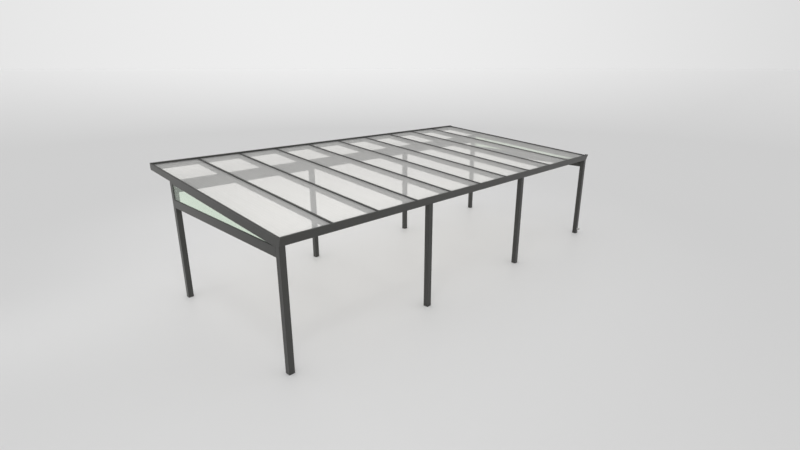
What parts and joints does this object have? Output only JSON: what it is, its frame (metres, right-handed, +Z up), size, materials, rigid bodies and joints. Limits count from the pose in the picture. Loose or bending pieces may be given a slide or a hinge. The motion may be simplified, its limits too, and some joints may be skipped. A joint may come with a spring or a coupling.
{
  "type": "carport",
  "caption": "Free-standing aluminium carport with a low single-pitch roof of multiwall sheets, a front gutter and glazed wedges at both ends.",
  "frame": {"origin": "on the ground under the centre of the roof's plan", "axes": "+X along the gutter towards the end with the drain spout, +Y from the low gutter side to the high rear side, +Z up"},
  "size_m": [10, 5.082, 2.7683],
  "materials": {
    "powder_coated_aluminium": "fine matt powder coat, anthracite grey",
    "multiwall_polycarbonate": "milky translucent multiwall sheet with ribs down the slope",
    "side_glazing": "clear flat glass with a pale green tint",
    "grey_spout": "smooth light grey pipe"
  },
  "bodies": {
    "root": {"front_post_1": "powder_coated_aluminium", "front_post_2": "powder_coated_aluminium", "front_post_3": "powder_coated_aluminium", "front_post_4": "powder_coated_aluminium", "rear_post_1": "powder_coated_aluminium", "rear_post_2": "powder_coated_aluminium", "rear_post_3": "powder_coated_aluminium", "rear_post_4": "powder_coated_aluminium", "front_gutter": "powder_coated_aluminium", "gutter_end_left": "powder_coated_aluminium", "gutter_end_right": "powder_coated_aluminium", "rear_beam": "powder_coated_aluminium", "rear_edge_profile": "powder_coated_aluminium", "glazing_caps": "powder_coated_aluminium", "side_rail_left": "powder_coated_aluminium", "side_rail_right": "powder_coated_aluminium", "glazing_sill_left": "powder_coated_aluminium", "glazing_sill_right": "powder_coated_aluminium", "rear_ends_left": "powder_coated_aluminium", "rear_ends_right": "powder_coated_aluminium", "glazing_profile_left": "powder_coated_aluminium", "glazing_profile_right": "powder_coated_aluminium", "rafter_1": "powder_coated_aluminium", "rafter_2": "powder_coated_aluminium", "rafter_3": "powder_coated_aluminium", "rafter_4": "powder_coated_aluminium", "rafter_5": "powder_coated_aluminium", "rafter_6": "powder_coated_aluminium", "rafter_7": "powder_coated_aluminium", "rafter_8": "powder_coated_aluminium", "rafter_9": "powder_coated_aluminium", "rafter_10": "powder_coated_aluminium", "rafter_11": "powder_coated_aluminium", "roof_sheet_1": "multiwall_polycarbonate", "roof_sheet_2": "multiwall_polycarbonate", "roof_sheet_3": "multiwall_polycarbonate", "roof_sheet_4": "multiwall_polycarbonate", "roof_sheet_5": "multiwall_polycarbonate", "roof_sheet_6": "multiwall_polycarbonate", "roof_sheet_7": "multiwall_polycarbonate", "roof_sheet_8": "multiwall_polycarbonate", "roof_sheet_9": "multiwall_polycarbonate", "roof_sheet_10": "multiwall_polycarbonate", "side_glass_left": "side_glazing", "side_glass_right": "side_glazing", "drain_spout": "grey_spout"}
  },
  "joints": []
}
